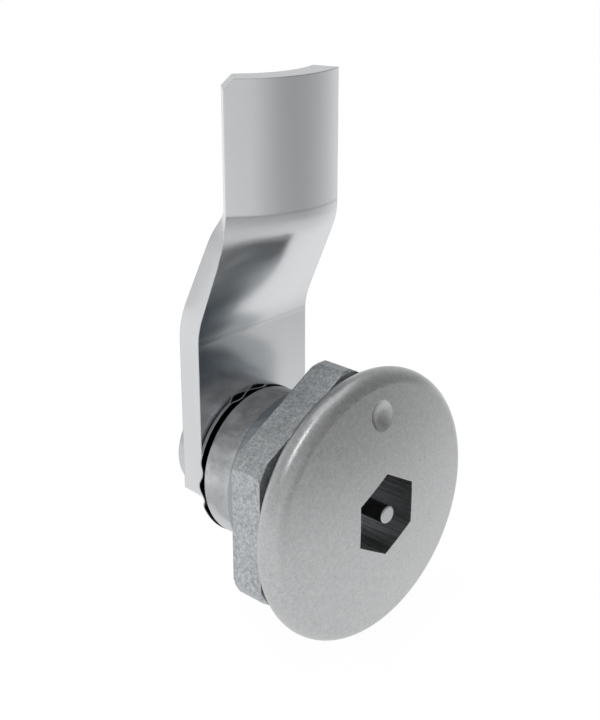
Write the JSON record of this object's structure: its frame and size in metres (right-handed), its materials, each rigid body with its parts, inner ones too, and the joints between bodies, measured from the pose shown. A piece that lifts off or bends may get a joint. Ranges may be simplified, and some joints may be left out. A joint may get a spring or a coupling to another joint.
{
  "type": "quarter-turn cam latch",
  "caption": "Quarter-turn panel latch: domed round head with a pinned hexagon key socket, flanged barrel held by a hexagon nut, and a joggled cam arm with a curved nose.",
  "frame": {"origin": "on the spindle's axis, in the plane where the front of the panel meets the gasket", "axes": "+Y along the axis from the head into the cabinet, +Z towards the cam's tip when the latch is open, -X towards the cam's sloping leading edge, and +X to the side that the tip swings to as it closes"},
  "size_m": [0.0375, 0.0333, 0.0727],
  "materials": {
    "head_metal": "satin plated die casting with a fine even speckle",
    "pin_steel": "plain turned steel pin",
    "barrel_metal": "smooth plated die casting with soft cloudy reflections",
    "gasket_rubber": "black sheet rubber",
    "seal_rubber": "black moulded rubber",
    "nut_metal": "mottled zinc coat",
    "spring_steel": "dark hardened spring strip with bright sheared edges",
    "cam_steel": "smooth bright zinc plating",
    "screw_steel": "bright zinc plating"
  },
  "bodies": {
    "latch_body": {"housing": "barrel_metal", "panel_gasket": "gasket_rubber", "head_seal": "seal_rubber", "stop_pin": "pin_steel", "mounting_nut": "nut_metal"},
    "latch_spindle": {"spindle": "head_metal", "security_pin": "pin_steel", "spindle_seal": "seal_rubber", "wave_washer": "spring_steel", "cam": "cam_steel", "lock_washer": "screw_steel", "cam_screw": "screw_steel"}
  },
  "joints": [
    {"name": "quarter_turn", "type": "hinge", "parent": "latch_body", "child": "latch_spindle", "pos_m": [0, 0, 0], "axis": [0, 1, 0], "range_deg": [0, 90]}
  ]
}
